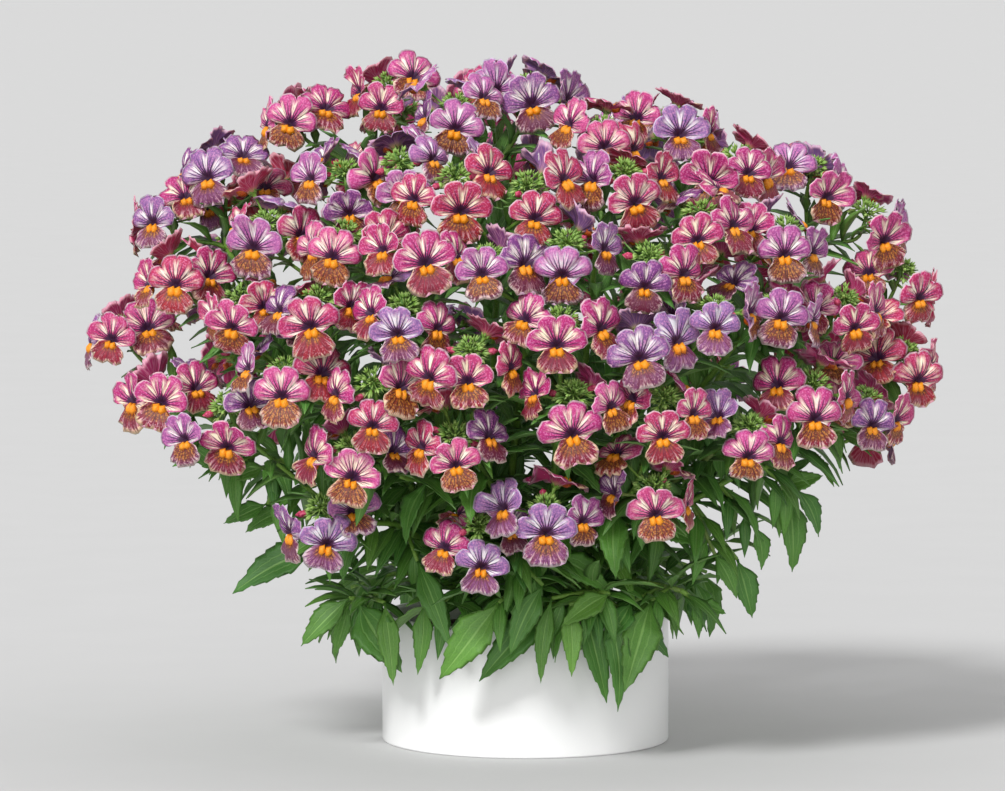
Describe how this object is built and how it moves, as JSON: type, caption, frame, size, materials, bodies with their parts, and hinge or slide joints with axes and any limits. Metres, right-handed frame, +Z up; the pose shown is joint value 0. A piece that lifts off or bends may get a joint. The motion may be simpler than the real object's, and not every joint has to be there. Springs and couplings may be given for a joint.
{
  "type": "potted plant",
  "caption": "Bushy nemesia in full bloom in a low round pot, with two-lipped flowers in racemes on leafy, forking stems.",
  "frame": {"origin": "middle of the pot's flat underside, on the surface that the pot stands on", "axes": "+X to the viewer's right, -Y towards the viewer, +Z up along the pot's axis"},
  "size_m": [0.3804, 0.3111, 0.3129],
  "materials": {
    "pot": "satin white",
    "soil": "rough, dark brown potting soil of bark and peat",
    "foliage": "matt green leaves and stems with a soft sheen",
    "petals_rose": "soft matt petals, rose to magenta",
    "petals_mauve": "soft matt petals, mauve to lavender",
    "petals_red": "soft matt petals, rose with a red and copper lip"
  },
  "bodies": {
    "root": {"pot": "pot", "soil": "soil", "leafy_stems": "foliage", "flower_spray_01": "petals_rose", "flower_spray_02": "petals_mauve", "flower_spray_03": "petals_red", "flower_spray_04": "petals_rose", "flower_spray_05": "petals_mauve", "flower_spray_06": "petals_red", "flower_spray_07": "petals_rose", "flower_spray_08": "petals_mauve", "flower_spray_09": "petals_red", "flower_spray_10": "petals_rose", "flower_spray_11": "petals_mauve", "flower_spray_12": "petals_red", "flower_spray_13": "petals_rose", "flower_spray_14": "petals_mauve", "flower_spray_15": "petals_red", "flower_spray_16": "petals_rose", "flower_spray_17": "petals_mauve", "flower_spray_18": "petals_red", "flower_spray_19": "petals_rose", "flower_spray_20": "petals_mauve", "flower_spray_21": "petals_red", "flower_spray_22": "petals_rose", "flower_spray_23": "petals_mauve", "flower_spray_24": "petals_red", "flower_spray_25": "petals_rose", "flower_spray_26": "petals_mauve", "flower_spray_27": "petals_red", "flower_spray_28": "petals_rose", "flower_spray_29": "petals_mauve", "flower_spray_30": "petals_red", "flower_spray_31": "petals_rose", "flower_spray_32": "petals_mauve", "flower_spray_33": "petals_red", "flower_spray_34": "petals_rose", "flower_spray_35": "petals_mauve", "flower_spray_36": "petals_red", "flower_spray_37": "petals_rose", "flower_spray_38": "petals_mauve"}
  },
  "joints": []
}
